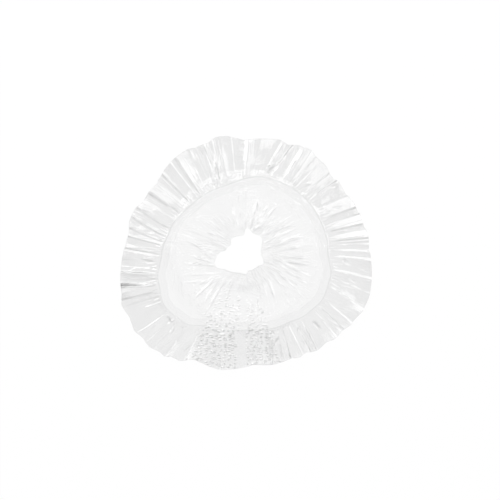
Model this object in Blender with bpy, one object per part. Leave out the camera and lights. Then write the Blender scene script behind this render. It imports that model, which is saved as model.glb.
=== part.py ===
# Clear film cover with two elastic edges, lying on a table with its mouth upwards.
# The film starts at the small gathered hole, runs outwards as the crown, rolls over at
# the outer contour and comes back inwards as a pleated rim that ends at the mouth.
# An elastic band lies along the hole's edge and another along the mouth.
# Metres, +Z up, +X to the right. The origin is the middle of the underside's box.

import math
from collections import namedtuple

import bmesh
import bpy

# Driving sizes
COVER_RADIUS = 0.1345  # outer contour, mean
MOUTH_RADIUS = 0.0865  # centre line of the mouth's elastic, mean
HOLE_RADIUS = 0.0235  # edge of the hole, mean
FILM_WALL = 0.0010
ROLL_HEIGHT = 0.0130  # rim's collar above the crown, wall middle to wall middle, mean
PLEAT_HEIGHT = 0.0062  # deepest pleats of the rim, crest to valley
PLEAT_NOTCH = 0.0026  # how far a valley steps back from the contour
CROWN_FOLD = 0.0026  # tallest fold of the crown, beside the hole's band
HOLE_LIFT = 0.0012  # the gathered hole's edge off the table
MOUTH_BAND_WIDTH = 0.0100
MOUTH_BAND_THICKNESS = 0.0011
HOLE_BAND_WIDTH = 0.0080
HOLE_BAND_THICKNESS = 0.0010
BAND_MARGIN = 0.0009  # film seen beside a band
SEAT_GAP = 0.0003  # between a band and the film that carries it
RIPPLE = 0.0003  # fine gathers left in the film under a band

# Where the film's rows lie, as shares of the way between two edges
FOLD_PEAK = 0.14  # hole's collar to flat ring: the folds are tallest here
FOLD_FADE = 0.55  # and are fading here
FLAT_START = 0.66  # hole's collar to mouth: the crown lies flat from here
FLAT_END = 0.16  # mouth's band to roll: the crown lies flat up to here
CROWN_PLEAT = 0.62  # mouth's band to roll: a lower pleat's row
RIM_OUTER = 0.80  # mouth's band to roll: rows of the upper pleats
RIM_MIDDLE = 0.45
RIM_INNER = 0.12
ROLL_ROWS = (-62.0, 0.0, 58.0)  # degrees round the roll, 0 at the contour

# How deep a pleat is at each row, as shares of PLEAT_HEIGHT
CROWN_PLEAT_DEPTH = 0.20
ROLL_LOW_DEPTH = 0.30
ROLL_HIGH_DEPTH = 0.62
RIM_OUTER_DEPTH = 0.85
RIM_MIDDLE_DEPTH = 1.00
RIM_INNER_DEPTH = 0.80
QUARTER_WAVE = 0.42  # height of a pleat's flank halfway between valley and crest
VALLEY_SINK = 0.22  # share of an upper pleat that lies below the collar

STEEPEST = 1.3  # slope up to which the wall is kept at its thickness
COLUMNS_PER_PLEAT = 4

# One row for each pleat of the rim, counter-clockwise from +X: the crest's angle in
# degrees, its reach as a share of COVER_RADIUS, how many degrees the crest turns on
# its way to the mouth, and its height as a share of PLEAT_HEIGHT.
Pleat = namedtuple("Pleat", "crest reach lean height")
PLEATS = (
    Pleat(1.0, 1.024, 2.0, 0.80),
    Pleat(9.5, 1.016, 1.5, 1.00),
    Pleat(17.5, 0.998, 2.0, 0.95),
    Pleat(26.5, 0.980, 4.0, 1.00),
    Pleat(37.5, 0.968, 3.5, 0.90),
    Pleat(49.0, 0.981, 3.5, 0.95),
    Pleat(59.5, 1.008, 3.0, 1.00),
    Pleat(71.5, 0.979, 6.0, 0.90),
    Pleat(79.0, 0.968, 5.0, 0.55),
    Pleat(86.0, 0.949, 4.0, 0.85),
    Pleat(94.0, 0.941, 3.5, 0.50),
    Pleat(101.5, 0.988, 2.5, 1.00),
    Pleat(108.0, 0.973, 3.5, 0.80),
    Pleat(119.5, 0.986, 4.0, 0.95),
    Pleat(126.5, 0.981, 2.0, 0.80),
    Pleat(134.0, 0.964, 1.0, 0.60),
    Pleat(143.0, 0.941, 2.0, 0.70),
    Pleat(149.5, 0.948, 3.0, 0.50),
    Pleat(156.0, 0.981, 5.0, 0.80),
    Pleat(165.0, 0.998, 5.5, 0.85),
    Pleat(173.0, 0.990, 4.0, 0.70),
    Pleat(180.5, 1.003, 3.0, 0.80),
    Pleat(187.0, 1.038, 3.0, 0.85),
    Pleat(193.5, 1.058, 4.5, 1.00),
    Pleat(203.5, 1.109, 4.0, 1.00),
    Pleat(215.5, 1.116, 0.5, 0.95),
    Pleat(224.5, 1.102, 0.5, 0.80),
    Pleat(231.5, 1.075, 0.5, 0.80),
    Pleat(238.5, 1.034, 1.0, 0.75),
    Pleat(247.0, 0.965, 1.0, 0.45),
    Pleat(256.0, 0.979, 2.0, 0.60),
    Pleat(265.0, 0.942, 2.5, 0.50),
    Pleat(274.0, 0.917, 3.0, 0.45),
    Pleat(283.0, 0.936, 5.0, 0.95),
    Pleat(290.0, 0.937, 4.0, 0.75),
    Pleat(298.0, 0.956, 3.0, 0.70),
    Pleat(307.0, 0.986, 4.0, 0.80),
    Pleat(317.0, 1.019, 4.0, 0.90),
    Pleat(326.5, 1.042, 3.0, 0.90),
    Pleat(335.5, 1.071, 4.5, 1.00),
    Pleat(342.5, 1.066, 2.0, 0.70),
    Pleat(349.0, 1.047, 1.0, 0.90),
    Pleat(356.0, 1.030, 1.5, 0.90),
)

# Outline of the mouth: radius as a share of MOUTH_RADIUS, and the collar's height there
# as a share of ROLL_HEIGHT, because the springy film holds it up unevenly
Mouth = namedtuple("Mouth", "angle radius lift")
MOUTH = (
    Mouth(0.0, 0.99, 1.02),
    Mouth(45.0, 0.98, 1.10),
    Mouth(75.0, 0.95, 1.06),
    Mouth(108.0, 0.86, 0.96),
    Mouth(135.0, 0.88, 0.93),
    Mouth(162.0, 0.96, 0.98),
    Mouth(180.0, 1.02, 1.05),
    Mouth(198.0, 1.12, 1.10),
    Mouth(212.0, 1.18, 1.06),
    Mouth(227.0, 1.13, 0.98),
    Mouth(243.0, 0.99, 0.93),
    Mouth(270.0, 0.92, 0.92),
    Mouth(300.0, 0.97, 0.97),
    Mouth(317.0, 1.04, 1.04),
    Mouth(330.0, 1.08, 1.08),
    Mouth(345.0, 1.06, 1.06),
)

# Outline of the hole, with its corners: radius as a share of HOLE_RADIUS
Hole = namedtuple("Hole", "angle radius")
HOLE = (
    Hole(0.0, 0.62),
    Hole(30.0, 0.77),
    Hole(45.0, 1.02),
    Hole(60.0, 1.05),
    Hole(70.0, 0.97),
    Hole(86.0, 1.24),
    Hole(95.0, 1.10),
    Hole(105.0, 0.99),
    Hole(135.0, 0.96),
    Hole(150.0, 0.89),
    Hole(165.0, 0.95),
    Hole(175.0, 1.24),
    Hole(195.0, 1.62),
    Hole(205.0, 1.49),
    Hole(225.0, 1.09),
    Hole(240.0, 0.99),
    Hole(255.0, 0.89),
    Hole(275.0, 0.80),
    Hole(300.0, 0.73),
    Hole(340.0, 0.82),
    Hole(350.0, 0.68),
)

# The crown's gathers round the hole: height as a share of CROWN_FOLD
Gather = namedtuple("Gather", "angle height")
GATHERS = (
    Gather(10.0, 0.80),
    Gather(45.0, 0.60),
    Gather(80.0, 0.95),
    Gather(110.0, 0.55),
    Gather(140.0, 0.30),
    Gather(170.0, 0.70),
    Gather(205.0, 1.00),
    Gather(240.0, 0.75),
    Gather(280.0, 0.55),
    Gather(315.0, 0.65),
    Gather(340.0, 1.00),
)

# A point of a section through the wall's middle: radius and height, the outward
# direction there, and how far the film is moved along it
Place = namedtuple("Place", "r z out_r out_z shift")


def clear_scene():
    for old in list(bpy.data.objects):
        bpy.data.objects.remove(old, do_unlink=True)


def around(table, column, angle, smooth):
    """Value of a column at an angle, read between the two rows beside it."""
    angles = [row[0] for row in table]
    values = [getattr(row, column) for row in table]
    turn = angle % 360.0
    after = next((i for i, a in enumerate(angles) if a > turn), 0)
    before = after - 1
    span = (angles[after] - angles[before]) % 360.0
    share = ((turn - angles[before]) % 360.0) / span
    if smooth:
        share = share * share * (3.0 - 2.0 * share)
    return values[before] + (values[after] - values[before]) * share


def between(low, high, share):
    return low + (high - low) * share


def mouth_radius(angle):
    return MOUTH_RADIUS * around(MOUTH, "radius", angle, True)


def collar_height(angle):
    """The rim's collar above the crown, wall middle to wall middle."""
    return ROLL_HEIGHT * around(MOUTH, "lift", angle, True)


def hole_radius(angle):
    return HOLE_RADIUS * around(HOLE, "radius", angle, False)


def contour_radius(angle):
    return COVER_RADIUS * around(PLEATS, "reach", angle, False)


def column_angles():
    """Angle, at the contour, of every column of the film: a crest, a flank, a valley, a flank."""
    angles = []
    for i, pleat in enumerate(PLEATS):
        span = (PLEATS[(i + 1) % len(PLEATS)].crest - pleat.crest) % 360.0
        for k in range(COLUMNS_PER_PLEAT):
            angles.append(pleat.crest + span * k / COLUMNS_PER_PLEAT)
    return angles


def pleat_wave(column):
    return (1.0, QUARTER_WAVE, 0.0, QUARTER_WAVE)[column % COLUMNS_PER_PLEAT]


def hole_collar(angle):
    """Outer edge of the smooth film round the hole, which carries the hole's band."""
    return hole_radius(angle) + HOLE_BAND_WIDTH + 2.0 * BAND_MARGIN


def crown_places(column, angle):
    """The crown's inner rows, from the hole's edge to where the film lies flat."""
    floor = FILM_WALL / 2.0
    crest = column % COLUMNS_PER_PLEAT == 0
    height = CROWN_FOLD * around(GATHERS, "height", angle, True) * crest
    collar = hole_collar(angle)
    flat = between(collar, mouth_radius(angle), FLAT_START)
    lifted = floor + HOLE_LIFT
    ripple = RIPPLE * crest
    return [
        Place(hole_radius(angle), lifted, 0.0, -1.0, -ripple),
        Place(collar, lifted, 0.0, -1.0, -ripple),
        Place(between(collar, flat, FOLD_PEAK), floor, 0.0, -1.0, -height),
        Place(between(collar, flat, FOLD_FADE), floor, 0.0, -1.0, -height * 0.5),
        Place(flat, floor, 0.0, -1.0, 0.0),
    ]


def rim_rows(column, angle):
    """Outer rows as (place, angle): flat crown under the rim, roll, pleated rim, collar."""
    floor = FILM_WALL / 2.0
    wave = pleat_wave(column)
    depth = PLEAT_HEIGHT * around(PLEATS, "height", angle, True)
    notch = PLEAT_NOTCH * around(PLEATS, "height", angle, True)
    lean = around(PLEATS, "lean", angle, True)
    roll = collar_height(angle) / 2.0
    turn = contour_radius(angle) - roll

    def band_edge(at):
        return mouth_radius(at) + MOUTH_BAND_WIDTH / 2.0 + BAND_MARGIN

    def lower(share, pleat):
        r = between(band_edge(angle), turn, share)
        return Place(r, floor, 0.0, -1.0, -depth * pleat * (1.0 - wave)), angle

    def upper(share, pleat):
        at = angle + lean * (1.0 - share)
        r = between(band_edge(at), turn, share)
        z = floor + between(collar_height(at), 2.0 * roll, share)
        return Place(r, z, 0.0, 1.0, depth * pleat * (wave - VALLEY_SINK)), at

    def rolled(degrees, shift):
        a = math.radians(degrees)
        r = turn + roll * math.cos(a)
        z = floor + roll + roll * math.sin(a)
        return Place(r, z, math.cos(a), math.sin(a), shift), angle

    def smooth(out):
        at = angle + lean
        z = floor + collar_height(at)
        return Place(mouth_radius(at) + out, z, 0.0, 1.0, -RIPPLE * (1.0 - wave)), at

    low, middle, high = ROLL_ROWS
    collar_half = MOUTH_BAND_WIDTH / 2.0 + BAND_MARGIN
    return [
        lower(FLAT_END, 0.0),
        lower(CROWN_PLEAT, CROWN_PLEAT_DEPTH),
        rolled(low, -depth * ROLL_LOW_DEPTH * (1.0 - wave)),
        rolled(middle, -notch * (1.0 - wave)),
        rolled(high, depth * ROLL_HIGH_DEPTH * (wave - VALLEY_SINK)),
        upper(RIM_OUTER, RIM_OUTER_DEPTH),
        upper(RIM_MIDDLE, RIM_MIDDLE_DEPTH),
        upper(RIM_INNER, RIM_INNER_DEPTH),
        smooth(collar_half),
        smooth(-collar_half),
    ]


def half_wall(row, column):
    """Half the wall along the outward direction, longer where a pleat's flank is steep."""
    before, place, after = row[column - 1][0], row[column][0], row[(column + 1) % len(row)][0]
    width = 2.0 * place.r * 2.0 * math.pi / len(row)
    slope = min(abs(after.shift - before.shift) / width, STEEPEST)
    return FILM_WALL / 2.0 * math.hypot(1.0, slope)


def spot(place, angle, along):
    """World point at a place, moved along its outward direction."""
    a = math.radians(angle)
    r = place.r + place.out_r * (place.shift + along)
    z = place.z + place.out_z * (place.shift + along)
    return (r * math.cos(a), r * math.sin(a), z)


def add_ring(mesh, row, side):
    """One closed ring of vertices on one side of the wall."""
    return [
        mesh.verts.new(spot(place, angle, side * half_wall(row, i)))
        for i, (place, angle) in enumerate(row)
    ]


def join_rings(mesh, one, other, flip):
    """Faces between two rings. A ring with half as many vertices is joined by triangles."""
    count = len(other)
    for i in range(len(one)):
        k = (i + 1) % len(one)
        if len(one) == count:
            faces = [(one[i], one[k], other[k], other[i])]
        else:
            a, b, c = other[2 * i], other[2 * i + 1], other[(2 * i + 2) % count]
            faces = [(one[i], b, a), (one[i], one[k], b), (one[k], c, b)]
        for face in faces:
            mesh.faces.new(face[::-1] if flip else face)


def make_object(name, mesh, material):
    bmesh.ops.recalc_face_normals(mesh, faces=mesh.faces)
    data = bpy.data.meshes.new(name)
    mesh.to_mesh(data)
    mesh.free()
    data.materials.append(material)
    made = bpy.data.objects.new(name, data)
    bpy.context.collection.objects.link(made)
    data.shade_smooth()
    data.set_sharp_from_angle(angle=math.radians(35.0))
    return made


def make_material(name, colour, roughness, alpha):
    material = bpy.data.materials.new(name)
    material.use_nodes = True
    shader = material.node_tree.nodes["Principled BSDF"]
    shader.inputs["Base Color"].default_value = (*colour, 1.0)
    shader.inputs["Roughness"].default_value = roughness
    shader.inputs["Metallic"].default_value = 0.0
    shader.inputs["Alpha"].default_value = alpha
    return material


def make_film(material):
    """The film: every row twice, once on each side of the wall, closed at hole and mouth."""
    angles = column_angles()
    half = range(0, len(angles), 2)
    crown = [[(p, angles[i]) for p in crown_places(i, angles[i])] for i in half]
    rim = [rim_rows(i, a) for i, a in enumerate(angles)]
    rows = [*zip(*crown), *zip(*rim)]
    mesh = bmesh.new()
    outside, inside = ([add_ring(mesh, row, side) for row in rows] for side in (1.0, -1.0))
    for rings, flip in ((outside, False), (inside, True)):
        for one, other in zip(rings, rings[1:]):
            join_rings(mesh, one, other, flip)
    join_rings(mesh, inside[0], outside[0], False)
    join_rings(mesh, outside[-1], inside[-1], False)
    return make_object("film_body", mesh, material)


def make_band(name, radius, width, underside, thickness, material):
    """A flat closed band: radius gives its inner edge, and underside its height, at an angle."""
    mesh = bmesh.new()
    angles = column_angles()[::2]
    corners = ((0.0, 0.0), (width, 0.0), (width, thickness), (0.0, thickness))
    rings = []
    for out, up in corners:
        places = [Place(radius(a) + out, underside(a) + up, 0.0, 0.0, 0.0) for a in angles]
        rings.append([mesh.verts.new(spot(p, a, 0.0)) for p, a in zip(places, angles)])
    for i, ring in enumerate(rings):
        join_rings(mesh, ring, rings[(i + 1) % len(rings)], False)
    return make_object(name, mesh, material)


def centre_on_box(pieces):
    """Moves the pieces so that the film's box is centred on the origin and stands on z = 0."""
    film = pieces[0].data.vertices
    shift = [
        -(min(v.co[k] for v in film) + max(v.co[k] for v in film)) / 2.0 for k in (0, 1)
    ]
    shift.append(-min(v.co.z for v in film))
    for piece in pieces:
        for vertex in piece.data.vertices:
            for k in range(3):
                vertex.co[k] += shift[k]


def main():
    clear_scene()
    film = make_material("clear_film", (0.93, 0.94, 0.95), 0.12, 0.4)
    elastic = make_material("white_elastic", (0.92, 0.92, 0.92), 0.45, 1.0)
    seat = FILM_WALL + SEAT_GAP
    pieces = [
        make_film(film),
        make_band(
            "mouth_elastic",
            lambda a: mouth_radius(a) - MOUTH_BAND_WIDTH / 2.0,
            MOUTH_BAND_WIDTH,
            lambda a: collar_height(a) + seat,
            MOUTH_BAND_THICKNESS,
            elastic,
        ),
        make_band(
            "hole_elastic",
            lambda a: hole_radius(a) + BAND_MARGIN,
            HOLE_BAND_WIDTH,
            lambda a: HOLE_LIFT + RIPPLE + seat,
            HOLE_BAND_THICKNESS,
            elastic,
        ),
    ]
    centre_on_box(pieces)


main()
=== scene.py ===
import math

import bpy
import numpy as np
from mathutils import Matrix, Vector


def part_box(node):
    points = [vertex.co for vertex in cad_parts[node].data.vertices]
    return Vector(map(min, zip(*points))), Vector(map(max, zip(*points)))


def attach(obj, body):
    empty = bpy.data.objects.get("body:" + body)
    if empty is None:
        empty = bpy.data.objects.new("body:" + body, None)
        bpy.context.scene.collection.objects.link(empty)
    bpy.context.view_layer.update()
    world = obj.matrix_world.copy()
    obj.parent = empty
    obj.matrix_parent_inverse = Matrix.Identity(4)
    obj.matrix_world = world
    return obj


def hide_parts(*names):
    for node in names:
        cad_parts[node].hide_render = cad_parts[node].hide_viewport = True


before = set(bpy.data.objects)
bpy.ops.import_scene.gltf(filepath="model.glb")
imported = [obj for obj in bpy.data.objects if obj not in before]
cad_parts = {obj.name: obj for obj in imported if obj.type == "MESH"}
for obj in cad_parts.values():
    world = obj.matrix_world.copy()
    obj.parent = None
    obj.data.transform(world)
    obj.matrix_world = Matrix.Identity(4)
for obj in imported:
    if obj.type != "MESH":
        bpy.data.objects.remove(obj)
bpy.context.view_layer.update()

pixel = 0.0011  # metres of the cover to one pixel of the photograph
millimetre = 0.001
rng = np.random.default_rng(11)


# Film: sizes and tables. Lengths are in metres where no note says otherwise.

filmSizes = {
    "mouthRadius": 0.0865,
    "floorGap": 0.0005,  # crown's height where it lies flat
    "sag": 0.3,  # how far a dent may go below that, as a share of it
    "collar": 0.0130,  # height of the mouth's band
    "tipShare": 0.55,  # height of the fold at the contour, as a share of the band's
    "tipReach": 0.030,  # how far in from the contour the crown is lifted
    "tipCurve": 1.5,
    "foldCurve": 3.0,  # how late the rim's folds grow in the lifted part of the crown
    "holeLift": 0.0008,
    "liftReach": 0.012,  # how far out from the hole's elastic that lift fades
    "ripple": 0.00022,  # height of the small gathers under the elastics
    "bandMargin": 0.0009,
    "mouthBand": 0.0100,
    "holeBand": 0.0080,
    "hemRise": 0.0005,  # height of the hole's turned edge and of the mouth's seam
    "holeLip": ((0.0003, 0.9), (-0.0002, 0.5), (0.0, 0.1)),  # out, share of that height
    "mouthSeam": ((0.0, 0.0), (-0.0005, 0.15), (-0.0012, 0.2), (-0.0017, 0.1)),
    "hemStart": 0.0020,  # hem's rows, measured in from the film's edge beside the elastic
    "hemEnd": 0.0024,
    "hemSink": 1.5,  # hem's ripple under the elastic, as a share of the film's ripple
    "columnsPerDegree": 2.3,
    "fewestColumns": 3,  # columns from one crease to the next
    "holeRows": 6,
    "crownRows": 54,
    "crownLast": 0.996,  # crown's last row before the contour, as a share of the way there
    "turnFrom": 0.8,  # from this share on the crown's columns turn to the rim's
    "rimRows": 34,
    "rimFirst": 0.995,
    "kinkSpan": 4.0,  # degrees of a face for each kink
    "kinkHeight": 0.0003,
    "kinkShift": 0.3,  # how far kinks are off their even places, at the contour
    "kinkLean": 0.25,  # and beside that at the mouth
    "swing": 0.00008,  # height of the slow waves along the rim's folds
    "slowWave": 4.0,
    "quickWave": 9.0,
    "foldReach": 1.35,  # length of the crown's folds, as a share of their lines
    "foldStart": 2.2,  # how fast a fold grows from its start and fades at its end
    "foldEnd": 4.0,
    "gathers": 170,  # small gathers round the mouth and round the hole
    "gatherHeights": (0.3, 1.0),
    "gatherValley": 0.4,
    "gatherMiddle": 0.4,
    "rimGather": 0.0010,
    "gatherStart": 0.06,  # shares of the rim's width over which gathers start and fade
    "gatherFade": (0.04, 0.26),
    "creaseStart": 0.08,
    "fanHeight": 0.0008,  # gathers that fan out from the hole's elastic
    "fanStart": 0.003,
    "fanReach": 0.022,
    # creases at chance places: count, radii in pixels, height in mm, half widths in pixels,
    # and the shares of the height between which they lie
    "crownChance": (150, (30.0, 84.0), 0.5, (0.9, 1.8), (-0.6, 1.0)),
    "crownSwells": (36, (34.0, 72.0), 0.5, (5.0, 9.0), (-0.8, 1.0)),
    "rimChance": (60, (86.0, 118.0), 0.8, (0.9, 1.6), (-1.2, 1.2)),
    "rimSwells": (16, (86.0, 110.0), 0.5, (4.0, 7.0), (-1.0, 1.2)),
    "chanceLengths": (5.0, 14.0),
    "chanceLeans": (-0.5, 0.6),
    "chanceTapers": (0.6, 1.0),
}

# corners of the contour: angle, radius in pixels
contourLine = np.array([
    (1.0, 124.5),
    (1.5, 123.3),
    (6.5, 124.0),
    (11.0, 123.5),
    (13.0, 121.0),
    (16.5, 121.8),
    (20.0, 121.0),
    (21.0, 119.5),
    (24.0, 119.8),
    (29.5, 118.3),
    (30.5, 116.5),
    (34.5, 117.2),
    (38.5, 118.0),
    (40.0, 116.2),
    (43.0, 115.7),
    (47.5, 119.5),
    (54.0, 120.0),
    (58.0, 123.0),
    (64.0, 121.2),
    (69.0, 117.2),
    (73.0, 119.5),
    (83.0, 116.7),
    (91.0, 114.0),
    (99.5, 120.0),
    (104.5, 121.2),
    (109.0, 118.0),
    (116.0, 118.2),
    (119.0, 120.5),
    (129.0, 119.8),
    (134.5, 117.5),
    (142.0, 114.2),
    (147.0, 115.8),
    (153.0, 115.5),
    (157.0, 120.0),
    (164.5, 121.8),
    (170.0, 119.2),
    (176.5, 121.8),
    (191.5, 128.8),
    (198.0, 131.0),
    (202.5, 135.2),
    (208.5, 133.0),
    (214.5, 136.2),
    (219.0, 133.5),
    (224.0, 134.7),
    (228.5, 131.0),
    (231.5, 131.5),
    (234.0, 127.5),
    (238.5, 126.2),
    (242.0, 120.0),
    (244.5, 118.0),
    (257.5, 119.2),
    (274.0, 111.5),
    (283.0, 114.2),
    (288.0, 114.5),
    (293.5, 114.0),
    (297.5, 117.0),
    (301.5, 115.8),
    (305.0, 119.7),
    (307.5, 120.5),
    (312.0, 119.5),
    (317.0, 124.0),
    (321.0, 123.0),
    (326.0, 127.2),
    (328.5, 127.0),
    (334.5, 130.5),
    (342.0, 130.7),
    (346.5, 129.2),
    (357.5, 125.5),
])

# angle, radius share, collar height share
mouthLine = np.array([
    (0.0, 0.99, 1.02),
    (45.0, 0.98, 1.10),
    (75.0, 0.95, 1.06),
    (108.0, 0.86, 0.96),
    (135.0, 0.88, 0.93),
    (162.0, 0.96, 0.98),
    (180.0, 1.02, 1.05),
    (198.0, 1.12, 1.10),
    (212.0, 1.18, 1.06),
    (227.0, 1.13, 0.98),
    (243.0, 0.99, 0.93),
    (270.0, 0.92, 0.92),
    (300.0, 0.97, 0.97),
    (317.0, 1.04, 1.04),
    (330.0, 1.08, 1.08),
    (345.0, 1.06, 1.06),
])

# angle, radius in pixels
holeLine = np.array([
    (14.9, 15.6),
    (32.0, 18.9),
    (42.6, 22.2),
    (52.7, 23.2),
    (62.6, 21.8),
    (71.1, 21.7),
    (84.3, 26.2),
    (90.9, 25.5),
    (96.2, 18.6),
    (119.7, 20.2),
    (135.0, 21.3),
    (146.3, 18.2),
    (158.7, 19.4),
    (171.9, 21.4),
    (175.6, 26.1),
    (185.7, 30.1),
    (196.5, 33.5),
    (204.5, 33.1),
    (216.4, 26.2),
    (237.2, 22.2),
    (250.7, 19.9),
    (262.9, 20.3),
    (270.0, 20.1),
    (276.9, 17.0),
    (305.5, 17.2),
    (316.0, 17.0),
    (330.9, 20.7),
    (356.2, 15.2),
])

# Folds of the crown: from (angle, pixels) to (angle, pixels), height in mm, half width in
# pixels at each end
crownFolds = [
    ((8.0, 57), (5.0, 30), 1.1, 1.7, 2.5),
    ((17.0, 63), (17.5, 27), 1.79, 4.2, 3.0),
    ((27.0, 59), (30.0, 28), 0.83, 1.7, 1.7),
    ((32.0, 57), (44.0, 32), 1.24, 1.7, 2.5),
    ((37.0, 54), (55.0, 35), 1.04, 2.1, 1.7),
    ((50.0, 51), (68.0, 28), 1.1, 2.1, 1.7),
    ((57.0, 63), (63.0, 34), 0.9, 1.7, 2.1),
    ((65.0, 61), (70.0, 30), 1.02, 1.4, 1.9),
    ((77.0, 61), (81.0, 32), 1.55, 2.5, 2.5),
    ((90.0, 57), (90.0, 30), 1.04, 1.7, 1.7),
    ((97.0, 51), (96.0, 30), 1.1, 1.7, 2.1),
    ((103.0, 57), (122.0, 24), 0.93, 1.5, 1.5),
    ((119.0, 47), (138.0, 27), 0.93, 1.7, 1.3),
    ((146.0, 53), (158.0, 27), 0.69, 2.1, 1.7),
    ((162.0, 67), (181.0, 38), 1.1, 1.7, 1.9),
    ((166.0, 65), (178.0, 36), 0.81, 1.3, 1.3),
    ((180.0, 61), (190.0, 40), 1.04, 1.5, 1.9),
    ((188.0, 67), (197.0, 38), 1.05, 1.7, 1.7),
    ((198.0, 67), (212.0, 38), 0.9, 1.4, 1.5),
    ((203.0, 74), (217.0, 46), 0.84, 1.2, 1.5),
    ((210.0, 67), (218.0, 40), 0.9, 1.2, 1.7),
    ((221.0, 74), (219.0, 46), 0.96, 1.4, 1.7),
    ((230.0, 67), (224.0, 42), 1.24, 2.5, 3.0),
    ((236.0, 73), (232.0, 42), 1.18, 1.7, 2.1),
    ((246.0, 55), (243.0, 33), 0.83, 2.1, 2.1),
    ((262.0, 57), (258.0, 32), 0.69, 2.5, 2.1),
    ((287.0, 55), (296.0, 32), 0.9, 1.4, 1.5),
    ((294.0, 51), (301.0, 34), 0.76, 1.4, 1.4),
    ((302.0, 57), (309.0, 38), 1.04, 1.7, 2.2),
    ((316.0, 65), (322.0, 34), 0.69, 1.7, 1.7),
    ((324.0, 65), (331.0, 38), 0.9, 1.5, 1.7),
    ((333.0, 71), (340.0, 40), 0.93, 1.5, 1.5),
    ((339.5, 73), (347.0, 38), 0.99, 1.5, 1.7),
    ((350.0, 67), (350.0, 34), 1.18, 1.9, 1.9),
    ((356.5, 67), (355.0, 32), 1.15, 1.7, 2.0),
]

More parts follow.
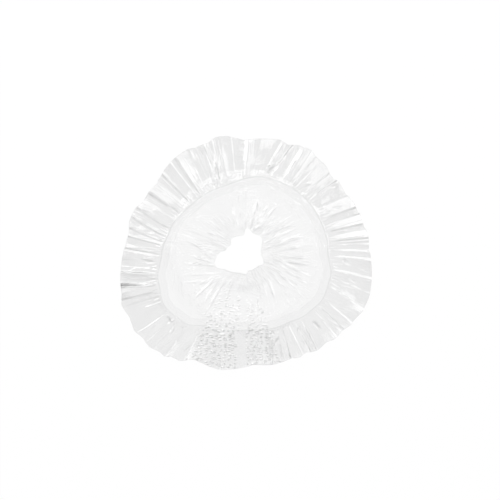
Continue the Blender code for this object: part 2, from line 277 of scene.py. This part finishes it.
# Creases of the rim in order: angle at the contour, angle at the mouth, height in mm. Where
# the angle goes back, the film is folded under itself.
rimNodes = [
    (1.0, 2.3, 1.5),
    (2.0, 3.3, 0.7),
    (4.4, 5.9, 1.5),
    (5.2, 6.6, 0.9),
    (6.5, 7.1, 1.7),
    (6.9, 7.6, 1.2),
    (8.0, 9.0, 2.7),
    (11.4, 12.2, 0.4),
    (14.2, 14.9, 0.7),
    (14.7, 15.4, 3.2),
    (19.2, 20.6, 0.2),
    (19.8, 21.2, 0.8),
    (22.6, 23.8, 2.0),
    (23.4, 24.6, 3.1),
    (29.6, 32.6, -0.8),
    (33.6, 36.6, 1.2),
    (38.4, 41.0, 2.2),
    (39.4, 42.0, 1.2),
    (43.8, 45.4, 2.4),
    (44.6, 46.0, -0.2),
    (45.6, 47.0, 0.3),
    (50.4, 52.8, 2.2),
    (51.2, 53.4, 1.5),
    (54.0, 55.6, 2.4),
    (54.6, 56.2, -0.4),
    (55.4, 57.0, 0.0),
    (60.6, 62.2, 2.6),
    (63.0, 65.0, 0.4),
    (66.0, 71.0, 1.7),
    (67.4, 74.0, 0.3),
    (71.0, 76.5, 1.7),
    (72.4, 78.0, 0.5),
    (75.0, 79.5, 1.0),
    (82.4, 85.4, 0.0),
    (88.8, 89.8, 3.0),
    (90.4, 91.6, 1.6),
    (96.6, 97.4, 0.0),
    (97.4, 98.2, 0.65),
    (100.0, 101.2, 0.3),
    (103.0, 104.6, 1.9),
    (104.2, 105.8, 1.1),
    (106.0, 107.2, 1.7),
    (107.0, 108.4, 0.6),
    (109.0, 110.2, 1.5),
    (110.0, 111.0, 0.7),
    (111.6, 112.6, 2.2),
    (113.2, 114.2, 2.6),
    (113.6, 114.8, -0.6),
    (118.6, 119.8, 0.4),
    (119.4, 120.4, 0.1),
    (126.0, 127.2, 4.0),
    (127.2, 128.4, 0.8),
    (129.0, 129.9, 0.6),
    (129.7, 130.5, 1.25),
    (134.5, 135.6, 0.9),
    (136.4, 137.0, 1.6),
    (136.9, 137.7, -0.8),
    (140.0, 141.0, -0.4),
    (147.0, 147.6, 2.6),
    (148.6, 149.4, 0.4),
    (151.0, 152.4, 0.2),
    (156.0, 160.6, 2.4),
    (156.8, 161.5, 2.2),
    (157.2, 162.2, -0.2),
    (161.8, 167.6, 1.6),
    (162.3, 168.3, -0.2),
    (167.2, 171.6, 1.4),
    (167.7, 172.2, -0.4),
    (171.4, 173.4, 1.0),
    (171.9, 174.0, -0.2),
    (177.0, 179.6, 0.9),
    (177.5, 180.2, -0.6),
    (178.2, 180.9, 0.0),
    (181.0, 183.6, 1.0),
    (185.0, 188.8, -1.0),
    (185.6, 189.4, -0.5),
    (187.6, 191.2, -0.5),
    (188.4, 192.1, 0.9),
    (192.4, 196.6, -3.2),
    (192.9, 197.2, -2.9),
    (194.7, 198.6, 0.5),
    (193.0, 198.0, 0.2),
    (194.8, 199.2, 3.0),
    (195.4, 199.7, 1.6),
    (197.2, 200.8, 2.0),
    (199.9, 202.0, 0.9),
    (200.5, 202.5, -0.1),
    (204.2, 206.3, -3.0),
    (204.8, 206.9, -2.5),
    (211.5, 212.5, -0.8),
    (215.6, 216.0, -1.0),
    (216.7, 216.9, 0.2),
    (221.0, 221.4, -0.8),
    (221.8, 222.1, -0.1),
    (225.6, 224.6, -0.7),
    (226.4, 225.4, -0.3),
    (231.2, 229.8, -1.2),
    (233.2, 231.8, 0.6),
    (239.8, 238.4, -0.7),
    (241.0, 239.6, 0.7),
    (250.0, 250.0, -0.2),
    (258.0, 258.0, 0.4),
    (265.0, 265.5, 0.0),
    (270.0, 270.5, 0.3),
    (276.0, 277.0, 0.0),
    (282.0, 287.4, 1.2),
    (283.0, 288.2, 0.3),
    (283.9, 288.9, 2.0),
    (288.0, 291.5, 1.0),
    (289.6, 292.6, 0.0),
    (293.4, 296.6, 1.0),
    (292.9, 296.0, -0.6),
    (299.0, 300.4, 0.4),
    (300.2, 301.4, -0.4),
    (303.4, 305.1, 0.8),
    (303.9, 305.6, -0.5),
    (306.1, 309.8, 0.8),
    (306.6, 310.4, -0.5),
    (312.0, 313.4, -0.2),
    (316.8, 320.4, 1.6),
    (317.9, 321.4, 0.6),
    (322.4, 324.0, 1.4),
    (322.8, 324.6, 0.0),
    (326.4, 329.4, 0.6),
    (327.4, 330.3, -0.3),
    (333.6, 339.0, 2.4),
    (334.9, 340.1, 1.2),
    (342.0, 344.4, 0.2),
    (343.0, 345.2, -0.2),
    (348.5, 349.8, 1.2),
    (349.6, 350.8, 0.3),
    (353.0, 354.4, 0.4),
    (356.8, 358.4, 1.6),
    (358.2, 359.6, 0.7),
]

# Short creases of the rim: from (angle, pixels) to (angle, pixels), height in mm (a dent
# when below 0), half width in pixels at each end
rimCreases = [
    ((47.0, 98), (51.0, 88), 0.9, 2.0, 2.0),
    ((68.5, 99), (77.5, 87), 1.53, 1.6, 1.4),
    ((71.0, 92), (76.5, 82), -1.44, 1.4, 1.2),
    ((105.5, 108), (106.5, 92), -1.35, 1.4, 1.2),
    ((108.0, 106), (110.5, 76), 1.26, 1.2, 1.4),
    ((131.0, 88), (137.0, 74), 1.44, 1.2, 2.4),
    ((147.5, 92), (148.5, 82), -1.71, 2.4, 1.8),
    ((145.5, 80), (148.0, 75), 1.62, 2.4, 2.4),
    ((183.0, 108), (185.5, 92), -1.53, 2.6, 2.0),
    ((218.0, 101), (222.5, 103.5), -1.44, 2.0, 1.8),
    ((239.2, 99), (236.7, 118), 1.0, 1.5, 1.4),
    ((216.0, 98), (225.5, 99.5), 1.0, 1.6, 1.6),
    ((224.4, 97), (226.8, 112), 0.9, 1.8, 1.4),
    ((283.0, 105), (285.0, 80), -2.3, 1.4, 1.3),
    ((288.5, 96), (291.0, 90), -1.8, 2.6, 2.2),
    ((289.0, 88), (288.8, 79), -1.62, 2.0, 1.6),
    ((303.2, 98), (305.5, 90), -1.44, 1.2, 1.6),
    ((314.2, 108), (314.8, 94), -1.8, 2.0, 2.0),
    ((354.0, 106), (357.0, 97), -1.44, 2.0, 2.0),
]

# how deep the rim's folds are: place between the mouth's band at 0 and the contour at 1
foldDepth = np.array([
    (0.0, 0.0),
    (0.05, 0.25),
    (0.15, 0.6),
    (0.3, 0.9),
    (0.5, 1.0),
    (0.9, 0.95),
    (1.0, 0.8),
])


def mix(low, high, share):
    return low + (high - low) * share


def ease(share):
    return share * share * (3.0 - 2.0 * share)


def easeBetween(low, high, value):
    return ease(np.clip((value - low) / (high - low), 0.0, 1.0))


def readLine(table, column, angle, smooth):
    # value of a table's column at each angle, read between the rows beside it
    angles = np.append(table[:, 0], table[0, 0] + 360.0)
    values = np.append(table[:, column], table[0, column])
    turn = (angle - angles[0]) % 360.0 + angles[0]
    k = np.clip(np.searchsorted(angles, turn, side="right") - 1, 0, len(angles) - 2)
    share = (turn - angles[k]) / (angles[k + 1] - angles[k])
    return mix(values[k], values[k + 1], ease(share) if smooth else share)


def contourRadius(angle):
    return pixel * readLine(contourLine, 1, angle, False)


def holeRadius(angle):
    return pixel * readLine(holeLine, 1, angle, False)


def mouthRadius(angle):
    return filmSizes["mouthRadius"] * readLine(mouthLine, 1, angle, True)


def collarHeight(angle):
    return filmSizes["collar"] * readLine(mouthLine, 2, angle, True)


def zigzag(phase, valley):
    # 1 at the crest, 0 at the valley, straight flanks
    phase = phase % 1.0
    return np.where(phase < valley, 1.0 - phase / valley, (phase - valley) / (1.0 - valley))


def kinked(one, other):
    # a crease, and small kinks that break a broad face after it into facets
    s = filmSizes
    kinks = [one]
    count = int((other[0] - one[0]) / s["kinkSpan"])
    for k in range(count):
        share = (k + 1.0 + rng.uniform(-s["kinkShift"], s["kinkShift"])) / (count + 1.0)
        lean = share + rng.uniform(-s["kinkLean"], s["kinkLean"]) / (count + 1.0)
        up = rng.uniform(-1.0, 1.0) * s["kinkHeight"]
        kinks.append(np.array([mix(one[0], other[0], share), mix(one[1], other[1], lean),
                               mix(one[2], other[2], share) + up]))
    return kinks


def evened(angle, near=4):
    # the same angles in rising order, each evened out with the ones near it
    rising = np.sort(angle)
    ring = np.concatenate([rising[-near:] - 360.0, rising, rising[:near] + 360.0])
    count = 2 * near + 1
    return np.convolve(ring, np.ones(count) / count, "valid")


def gatherWave(angle):
    # small gathers beside the elastics, each with its own height
    s = filmSizes
    phase = angle / 360.0 * s["gathers"]
    heights = rng.uniform(*s["gatherHeights"], s["gathers"])
    return zigzag(phase, s["gatherValley"]) * heights[np.floor(phase).astype(int) % s["gathers"]]


def nextRows(rows):
    # the row after each row, and after the last one the first a full turn on
    first = rows[:1].copy()
    first[:, :2] += 360.0
    return np.vstack([rows[1:], first])


class FilmColumns:
    # everything about the film that depends only on its column
    def __init__(self):
        s = filmSizes
        nodes = np.array(rimNodes) * (1.0, 1.0, millimetre)
        creases = [kink for pair in zip(nodes, nextRows(nodes)) for kink in kinked(*pair)]
        waves = rng.uniform(-1.0, 1.0, (len(creases), 2))
        creases = np.hstack([np.array(creases), waves])
        columns = []
        for one, other in zip(creases, nextRows(creases)):
            span = abs(other[0] - one[0])
            count = max(s["fewestColumns"], round(span * s["columnsPerDegree"]))
            columns += [mix(one, other, k / count) for k in range(count)]
        self.angle, inner, self.height, self.slow, self.quick = np.array(columns).T
        self.inner = evened(inner)
        self.crown = evened(self.angle)
        self.contour = contourRadius(self.angle)
        self.tip = s["tipShare"] * collarHeight(self.angle)
        self.gather = gatherWave(self.inner)
        self.crownGather = gatherWave(self.crown)
        print("columns:", len(self.angle))

    def foldHeight(self, share):
        # height of the rim's folds between the mouth's band at 0 and the contour at 1
        s = filmSizes
        slow = self.slow * math.sin(s["slowWave"] * share)
        quick = self.quick * math.sin(s["quickWave"] * share)
        return (self.height + s["swing"] * (slow + quick)) * np.interp(share, *foldDepth.T)


def tentHeights(lines, angle, r, reach=1.0):
    # height of the film over straight folds and dents, seen from above, each as long as
    # reach times its line
    x, y = r * np.cos(np.radians(angle)), r * np.sin(np.radians(angle))
    total = np.zeros_like(r)
    for start, end, height, startWidth, endWidth in lines:
        ax, ay = [start[1] * pixel * f(math.radians(start[0])) for f in (math.cos, math.sin)]
        bx, by = [end[1] * pixel * f(math.radians(end[0])) for f in (math.cos, math.sin)]
        dx, dy = bx - ax, by - ay
        along = ((x - ax) * dx + (y - ay) * dy) / (dx * dx + dy * dy)
        near = np.clip(along, 0.0, reach)
        away = np.abs((x - ax) * dy - (y - ay) * dx) / math.hypot(dx, dy)
        width = pixel * mix(startWidth, endWidth, near)
        fade = np.minimum(1.0, filmSizes["foldStart"] * near)
        fade *= np.minimum(1.0, filmSizes["foldEnd"] * (reach - near))
        total += millimetre * height * fade * np.clip(1.0 - away / width, 0.0, 1.0)
    return total


def crownHeight(angle, r):
    # height of the crown's folds, which run on under the hole's elastic
    return tentHeights(crownFolds, angle, r, filmSizes["foldReach"])


def chanceCreases(count, radii, height, widths, ups):
    # creases at chance places between two radii in pixels, leaning either way
    s = filmSizes
    creases = []
    for _ in range(count):
        angle, r = rng.uniform(0.0, 360.0), rng.uniform(*radii)
        wide = rng.uniform(*widths)
        length = rng.uniform(*s["chanceLengths"]) + wide
        lean = rng.uniform(*s["chanceLeans"])
        end = (angle + math.degrees(lean * length / r), r + length)
        up = height * rng.uniform(*ups)
        creases.append(((angle, r), end, up, wide, wide * rng.uniform(*s["chanceTapers"])))
    return creases


def holeRows(cols, hole, holeCollar):
    # turned edge of the hole, then the film under the hole's elastic
    s = filmSizes
    ripple = s["ripple"] * cols.crownGather
    seat = s["floorGap"] + s["holeLift"]
    rows = []
    for out, rise in s["holeLip"]:
        up = s["hemRise"] * rise + crownHeight(cols.crown, hole)
        rows.append((cols.crown, hole + out, seat + up + ripple))
    for share in np.linspace(0.0, 1.0, s["holeRows"] + 1)[1:]:
        r = mix(hole, holeCollar, share)
        rows.append((cols.crown, r, seat + ripple + crownHeight(cols.crown, r)))
    return rows


def crownRows(cols, holeCollar):
    # crown, from the hole's elastic out to the fold at the contour
    s = filmSizes
    floor = s["floorGap"]
    creases = chanceCreases(*s["crownChance"])
    creases += chanceCreases(*s["crownSwells"])
    rows = []
    for share in (*np.linspace(0.0, 1.0, s["crownRows"])[1:-1], s["crownLast"], 1.0):
        at = mix(cols.crown, cols.angle, easeBetween(s["turnFrom"], 1.0, share))
        contour = contourRadius(at)
        r = mix(holeCollar, contour, share)
        out = r - holeCollar
        toTip = np.clip((r - contour) / s["tipReach"] + 1.0, 0.0, 1.0)
        lift = s["holeLift"] * (1.0 - easeBetween(0.0, s["liftReach"], out))
        start = easeBetween(0.0, s["fanStart"], out)
        fans = start * (1.0 - easeBetween(s["fanStart"], s["fanReach"], out))
        up = tentHeights(creases, at, r) * (1.0 - toTip) * start
        up += s["fanHeight"] * fans * cols.crownGather
        up += crownHeight(at, r) * (1.0 - toTip)
        up += toTip ** s["tipCurve"] * cols.tip + toTip ** s["foldCurve"] * cols.foldHeight(1.0)
        rows.append((at, r, floor + np.maximum(lift + up, -s["sag"] * floor)))
    return rows


def rimRows(cols):
    # folded rim, from the contour in to the mouth's band
    s = filmSizes
    creases = list(rimCreases)
    creases += chanceCreases(*s["rimChance"])
    creases += chanceCreases(*s["rimSwells"])
    rows = []
    for share in (s["rimFirst"], *np.linspace(1.0, 0.0, s["rimRows"])[1:-1]):
        at = mix(cols.inner, cols.angle, share)
        edge = mouthRadius(at) + s["mouthBand"] / 2.0 + s["bandMargin"]
        r = mix(edge, cols.contour, share)
        gathered = 1.0 - easeBetween(*s["gatherFade"], share)
        gathered *= s["rimGather"] * min(1.0, share / s["gatherStart"])
        up = cols.foldHeight(share) + gathered * (cols.gather - s["gatherMiddle"])
        up += tentHeights(creases, at, r) * min(1.0, share / s["creaseStart"])
        rows.append((at, r, s["floorGap"] + mix(collarHeight(at), cols.tip, share) + up))
    return rows


def hemRows(cols):
    # seam beside the mouth's elastic, then the hem that is welded under its outer edge
    s = filmSizes
    at = cols.inner
    edge = mouthRadius(at) + s["mouthBand"] / 2.0 + s["bandMargin"]
    collar = s["floorGap"] + collarHeight(at)
    sunk = collar - s["hemSink"] * s["ripple"] * cols.gather
    rows = [(at, edge + out, collar + s["hemRise"] * rise) for out, rise in s["mouthSeam"]]
    rows += [(at, edge - inward, sunk) for inward in (s["hemStart"], s["hemEnd"])]
    return rows


def filmRows():
    # the film's rows from the hole's hem to the mouth's hem: angle, radius, height
    cols = FilmColumns()
    hole = holeRadius(cols.crown)
    holeCollar = hole + filmSizes["holeBand"] + 2.0 * filmSizes["bandMargin"]
    rows = holeRows(cols, hole, holeCollar)
    rows += crownRows(cols, holeCollar)
    rows += rimRows(cols)
    rows += hemRows(cols)
    return rows


def gridMesh(name, rows, closeRows=False):
    # a mesh from rings of points, each ring closed on itself
    points = []
    for angle, r, z in rows:
        a = np.radians(angle)
        points.append(np.stack([r * np.cos(a), r * np.sin(a), z], axis=1))
    points = np.array(points)
    rowCount, columnCount = points.shape[:2]
    index = np.arange(rowCount * columnCount).reshape(rowCount, columnCount)
    lower = index if closeRows else index[:-1]
    upper = np.roll(index, -1, axis=0) if closeRows else index[1:]
    quads = [lower, np.roll(lower, -1, axis=1), np.roll(upper, -1, axis=1), upper]
    quads = np.stack(quads, axis=-1)
    mesh = bpy.data.meshes.new(name)
    mesh.from_pydata(points.reshape(-1, 3).tolist(), [], quads.reshape(-1, 4).tolist())
    mesh.shade_smooth()
    piece = bpy.data.objects.new(name, mesh)
    bpy.context.collection.objects.link(piece)
    return piece


def shiftMesh(piece, shift):
    for vertex in piece.data.vertices:
        vertex.co += shift


def makeFilm():
    film = gridMesh("coverFilm", filmRows())
    xs = [v.co.x for v in film.data.vertices]
    ys = [v.co.y for v in film.data.vertices]
    low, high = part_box("film_body")
    toCad = [(a + b - min(v) - max(v)) / 2.0 for a, b, v in zip(low, high, (xs, ys))]
    shift = Vector((*toCad, 0.0))
    shiftMesh(film, shift)
    moved = [round(v / millimetre, 2) for v in shift]
    print("film:", len(film.data.polygons), "faces, moved by", moved, "mm")
    return film, shift


# Elastic bands

bandSizes = {
    "thickness": 0.0005,
    "bevel": 0.0001,
    "aboveFilm": 0.0003,
    "columns": 720,
}


def makeBand(name, innerEdge, width, underside, shift):
    angle = np.linspace(0.0, 360.0, bandSizes["columns"], endpoint=False)
    b, t = bandSizes["bevel"], bandSizes["thickness"]
    section = [(b, 0.0), (width / 2.0, 0.0), (width - b, 0.0), (width, b), (width, t - b),
               (width - b, t), (width / 2.0, t), (b, t), (0.0, t - b), (0.0, b)]
    rows = []
    for out, up in section:
        r = innerEdge(angle) + out
        rows.append((angle, r, underside(angle, r) + up))
    band = gridMesh(name, rows, closeRows=True)
    shiftMesh(band, shift)
    print("band:", name)
    return band


# Materials

clearFilm = {
    "index": 1.33,  # index of refraction
    "edge": 1.6,  # extra mirror at a slant
    "edgePower": 1.2,
    "gloss": 1.0,
    "most": 0.3,  # limit of the mirror
    "fade": 0.8,  # how it fades where the film is seen edge-on
    "fadePower": 6.0,
    "tint": 0.958,
    "mirrorTone": 0.96,
    "haze": 0.01,
    "hazeTone": 0.95,
    "roughness": 0.07,
    "uneven": 0.08,  # how much the roughness changes over the surface
    "bump": 0.7,
    "wrinkled": True,
}
clearElastic = {
    **clearFilm,
    "index": 1.3,
    "edge": 0.3,
    "gloss": 0.2,
    "most": 0.1,
    "tint": 0.986,
    "haze": 0.004,
    "roughness": 0.25,
    "bump": 0.3,
    "wrinkled": False,
}

# the hole's elastic hardly shows against the gathered film that it follows
gatheredElastic = {
    **clearElastic,
    "edge": 0.6,
    "most": 0.2,
    "tint": 0.998,
    "bump": 0.7,
}

# Relief, with heights in millimetres. Noises: scale by the metre, detail. Creases: scale
# round the cover, scale along its radius, sharpness. Starts and ends: radius, fading width.
relief = {
    "fine": (520.0, 2.0),
    "fineHeight": 0.12,
    "broad": (90.0, 3.0),
    "broadHeight": 0.6,
    "patch": (26.0, 0.0),
    "patchGain": 6.0,
    "patchLoss": 2.4,
    "crease": (20.0, 12.0, 14.0),
    "creaseHeight": 0.2,
    "creaseDetail": 1.5,
    "fan": (15.0, 9.0, 16.0),
    "fanHeight": 0.42,
    "fanEnd": (0.086, 0.02),
    "arc": (9.0, 220.0, 10.0),
    "arcHeight": 0.4,
    "arcStart": (0.052, 0.01),
    "arcEnd": (0.094, 0.012),
    "swell": (30.0, 1.0),
    "swellHeight": 8.0,
    "swellEnd": (0.092, 0.015),
    "calm": 0.3,  # share of the swells that is left on the rim
    "dotHeight": 1.9,
}

# Patch of raised dots at the bottom: its sides in degrees round the cover, how far the low
# one leans by the metre, a smooth strip through it, and the radii between which it grows
dotPatch = {
    "low": -125.5,
    "high": -72.0,
    "lean": 75.0,
    "strip": -92.5,
    "stripHalf": 2.3,
    "soft": 1.2,
    "inner": 0.03,
    "middle": 0.07,
    "outer": 0.084,
    "faint": 0.7,  # how high the dots of the crown are
    "perMetre": 250.0,
    "stretch": (0.78, 1.1, 1.0),
    "randomness": 0.85,
    "dotRadius": 0.38,
    "dotSide": 0.32,
    "uneven": (160.0, 1.0),  # noise that makes some dots higher
    "highest": 1.6,
    "missing": 0.1,
}


class Signal:
    # one output socket, on which sums are written as plain expressions
    def __init__(self, board, socket):
        self.board = board
        self.socket = socket

    def __add__(self, other):
        return self.board.maths("ADD", self, other)

    def __mul__(self, other):
        return self.board.maths("MULTIPLY", self, other)

    def __sub__(self, other):
        return self.board.maths("SUBTRACT", self, other)

    def __rsub__(self, other):
        return self.board.maths("SUBTRACT", other, self)

    def __truediv__(self, other):
        return self.board.maths("DIVIDE", self, other)

    def __rtruediv__(self, other):
        return self.board.maths("DIVIDE", other, self)

    def __pow__(self, other):
        return self.board.maths("POWER", self, other)

    __radd__ = __add__
    __rmul__ = __mul__


class Board:
    # a material's node tree
    def __init__(self, name):
        self.material = bpy.data.materials.new(name)
        self.material.use_nodes = True
        self.tree = self.material.node_tree
        self.tree.nodes.clear()

    def node(self, kind, settings=None, **sockets):
        made = self.tree.nodes.new(kind)
        for key, value in (settings or {}).items():
            setattr(made, key, value)
        for key, value in sockets.items():
            self.feed(findSocket(made.inputs, key), value)
        return made

    def feed(self, socket, value):
        if isinstance(value, Signal):
            self.tree.links.new(value.socket, socket)
        else:
            socket.default_value = value

    def out(self, made, key=0):
        return Signal(self, made.outputs[key])

    def maths(self, operation, *values):
        made = self.node("ShaderNodeMath", {"operation": operation})
        for socket, value in zip(made.inputs, values):
            self.feed(socket, value)
        return self.out(made)

    def clamp(self, value):
        return self.out(self.node("ShaderNodeClamp", Value=value))

    def noise(self, place, scale, detail):
        made = self.node("ShaderNodeTexNoise", Vector=place, Scale=scale, Detail=detail)
        return self.out(made, "Fac")

    def blend(self, share, low, high):
        return self.out(self.node("ShaderNodeMixShader", Fac=share, Shader0=low, Shader1=high))

    def surface(self, shader):
        self.node("ShaderNodeOutputMaterial", Surface=shader)
        return self.material


def findSocket(inputs, key):
    # sockets are named without spaces, and a number picks one of several with one name
    wanted = key.rstrip("0123456789").lower()
    digits = key[len(wanted):]
    found = [s for s in inputs if s.name.replace(" ", "").lower() == wanted and s.enabled]
    return found[int(digits) if digits else 0]


def grey(tone):
    return (tone, tone, tone, 1.0)


def polar(board, place):
    # radius and angle round the cover, and the direction away from its middle
    parts = board.node("ShaderNodeSeparateXYZ", Vector=place)
    x, y = board.out(parts, "X"), board.out(parts, "Y")
    r = board.maths("SQRT", x * x + y * y)
    angle = board.maths("ARCTAN2", y, x) * math.degrees(1.0)
    return r, angle, x / r, y / r


def inside(board, r, edge, soft):
    # 0 beyond the edge, growing to 1 over a width towards the middle
    return board.clamp((edge - r) / soft)


def outside(board, r, edge, soft):
    # 0 within the edge, growing to 1 over a width away from the middle
    return board.clamp((r - edge) / soft)


def dotRelief(board, place, r, angle):
    # raised dots in uneven rows inside the patch
    patch = dotPatch
    soft = patch["soft"]
    left = board.clamp((angle - patch["low"] - (r - patch["inner"]) * patch["lean"]) / soft)
    right = board.clamp((patch["high"] - angle) / soft)
    strip = board.maths("ABSOLUTE", angle - patch["strip"]) - patch["stripHalf"]
    area = left * right * board.clamp(strip / soft)
    start = outside(board, r, patch["inner"], patch["inner"])
    rim = outside(board, r, patch["middle"], patch["outer"] - patch["middle"])
    area = area * start * (rim * (1.0 - patch["faint"]) + patch["faint"])
    uneven = board.noise(place, *patch["uneven"])
    across = board.node("ShaderNodeMapping", Vector=place, Scale=patch["stretch"])
    dots = board.node(
        "ShaderNodeTexVoronoi",
        {"voronoi_dimensions": "2D"},
        Vector=board.out(across),
        Scale=patch["perMetre"],
        Randomness=patch["randomness"],
    )
    dot = board.clamp((patch["dotRadius"] - board.out(dots, "Distance")) / patch["dotSide"])
    return dot * area * (uneven * patch["highest"] - patch["missing"])


def creaseRelief(board, r, dirX, dirY, around, along, sharp):
    # thin sharp creases, more of them round the cover or along its radius
    spread = board.node("ShaderNodeCombineXYZ", X=dirX * around, Y=dirY * around, Z=r * along)
    noise = board.noise(board.out(spread), 1.0, relief["creaseDetail"])
    away = board.maths("ABSOLUTE", noise * 2.0 - 1.0)
    return (1.0 - away) ** sharp


def addWrinkles(board, place, height):
    # creases, fans beside the hole, arcs beside the mouth, dots and broad swells
    r, angle, dirX, dirY = polar(board, place)
    patches = board.noise(place, *relief["patch"])
    patches = board.clamp(patches * relief["patchGain"] - relief["patchLoss"])
    creases = creaseRelief(board, r, dirX, dirY, *relief["crease"])
    height = height + creases * patches * relief["creaseHeight"]
    fans = creaseRelief(board, r, dirX, dirY, *relief["fan"])
    fans = fans * inside(board, r, *relief["fanEnd"])
    height = height + fans * patches * relief["fanHeight"]
    arcs = creaseRelief(board, r, dirX, dirY, *relief["arc"])
    arcs = arcs * outside(board, r, *relief["arcStart"]) * inside(board, r, *relief["arcEnd"])
    height = height + arcs * relief["arcHeight"]
    height = height + dotRelief(board, place, r, angle) * relief["dotHeight"]
    swells = board.noise(place, *relief["swell"])
    share = relief["calm"] + (1.0 - relief["calm"]) * inside(board, r, *relief["swellEnd"])
    return height + swells * share * relief["swellHeight"]


def filmMaterial(name, look):
    board = Board(name)
    place = board.out(board.node("ShaderNodeTexCoord"), "Object")
    fine = board.noise(place, *relief["fine"])
    broad = board.noise(place, *relief["broad"])
    height = fine * relief["fineHeight"] + broad * relief["broadHeight"]
    if look["wrinkled"]:
        height = addWrinkles(board, place, height)
    bump = board.node("ShaderNodeBump", Height=height, Strength=look["bump"], Distance=millimetre)
    normal = board.out(bump, "Normal")
    mirror = board.out(board.node("ShaderNodeFresnel", IOR=look["index"], Normal=normal))
    weight = board.node("ShaderNodeLayerWeight", Blend=0.5, Normal=normal)
    tilt = board.out(weight, "Facing")
    share = 2.0 * mirror / (1.0 + mirror)  # both faces of the film
    share = share + look["edge"] * tilt ** look["edgePower"]
    share = board.maths("MINIMUM", share * look["gloss"], look["most"])
    share = share * (1.0 - look["fade"] * tilt ** look["fadePower"])
    clear = board.node("ShaderNodeBsdfTransparent", Color=grey(look["tint"]))
    gloss = board.node(
        "ShaderNodeBsdfPrincipled",
        BaseColor=grey(look["mirrorTone"]),
        Metallic=1.0,
        Roughness=look["roughness"] + (broad - 0.5) * look["uneven"],
        Normal=normal,
    )
    milk = board.node("ShaderNodeBsdfTranslucent", Color=grey(look["hazeTone"]))
    body = board.blend(share, board.out(clear), board.out(gloss))
    print("material:", name)
    return board.surface(board.blend(look["haze"], body, board.out(milk)))


# Studio

studioSizes = {
    "floorSide": 6.0,
    "floorGrey": 0.03,
    "floorGlow": 0.985,
    "worldGrey": 0.06,
    "lens": 100.0,
    "sensor": 36.0,
    "picturePixels": 500,
    "sharpHeight": 0.012,  # height at which the picture's scale is the photograph's
    "centreLeft": 4,  # the cover's own centre is this many pixels left of the picture's
    "centreBelow": 4,
}

# place, size across and along, and brightness
lightPanels = {
    "northPanel": ((-0.1, 1.0, 1.15), (1.7, 0.7), 1.8),
    "eastPanel": ((0.95, 0.4, 1.15), (1.5, 0.7), 1.75),
    "northwestPanel": ((-0.85, 0.8, 1.05), (0.9, 0.55), 1.15),
    "westPanel": ((-1.15, 0.4, 0.85), (1.2, 0.75), 1.4),
    "southPanel": ((-0.1, -0.9, 1.3), (1.3, 0.5), 0.5),
    "overheadPanel": ((0.1, 0.14, 2.2), (0.7, 0.7), 0.15),
}


def makeFloor():
    s = studioSizes
    bpy.ops.mesh.primitive_plane_add(size=s["floorSide"], location=(0.0, 0.0, 0.0))
    floor = bpy.context.active_object
    floor.name = "paleFloor"
    board = Board("paleFloor")
    shader = board.node(
        "ShaderNodeBsdfPrincipled",
        BaseColor=grey(s["floorGrey"]),
        Roughness=1.0,
        SpecularIORLevel=0.0,
        EmissionColor=grey(1.0),
        EmissionStrength=s["floorGlow"],
    )
    floor.data.materials.append(board.surface(board.out(shader)))


def makeStudio():
    makeFloor()
    world = bpy.data.worlds.new("studioWorld")
    world.use_nodes = True
    world.node_tree.nodes["Background"].inputs[0].default_value = grey(studioSizes["worldGrey"])
    bpy.context.scene.world = world
    for name, (place, size, brightness) in lightPanels.items():
        data = bpy.data.lights.new(name, "AREA")
        data.shape = "RECTANGLE"
        data.size, data.size_y = size
        data.energy = brightness * math.pi * size[0] * size[1]
        lamp = bpy.data.objects.new(name, data)
        lamp.location = place
        lamp.rotation_euler = (-Vector(place)).to_track_quat("-Z", "Y").to_euler()
        bpy.context.collection.objects.link(lamp)
    bpy.context.scene.view_settings.view_transform = "Standard"
    print("studio made")


def makeCamera(shift):
    s = studioSizes
    data = bpy.data.cameras.new("topCamera")
    data.lens = s["lens"]
    data.sensor_width = s["sensor"]
    distance = pixel * s["picturePixels"] * s["lens"] / s["sensor"]
    camera = bpy.data.objects.new("topCamera", data)
    camera.location = (
        shift.x + s["centreLeft"] * pixel,
        shift.y + s["centreBelow"] * pixel,
        distance + s["sharpHeight"],
    )
    bpy.context.collection.objects.link(camera)
    bpy.context.scene.camera = camera
    print("camera at", [round(v, 4) for v in camera.location])


def main():
    film, shift = makeFilm()
    film.data.materials.append(filmMaterial("clearFilm", clearFilm))
    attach(film, "root")
    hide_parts("film_body")
    s = filmSizes
    seat = s["floorGap"] + bandSizes["aboveFilm"]
    mouthBand = makeBand(
        "mouthBand",
        lambda a: mouthRadius(a) - s["mouthBand"] / 2.0,
        s["mouthBand"],
        lambda a, r: seat + collarHeight(a),
        shift,
    )
    holeBand = makeBand(
        "holeBand",
        lambda a: holeRadius(a) + s["bandMargin"],
        s["holeBand"],
        lambda a, r: seat + s["holeLift"] + crownHeight(a, r),
        shift,
    )
    for band, node, look in (
        (mouthBand, "mouth_elastic", clearElastic),
        (holeBand, "hole_elastic", gatheredElastic),
    ):
        band.data.materials.append(filmMaterial(band.name + "Film", look))
        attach(band, "root")
        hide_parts(node)
    makeStudio()
    makeCamera(shift)


main()
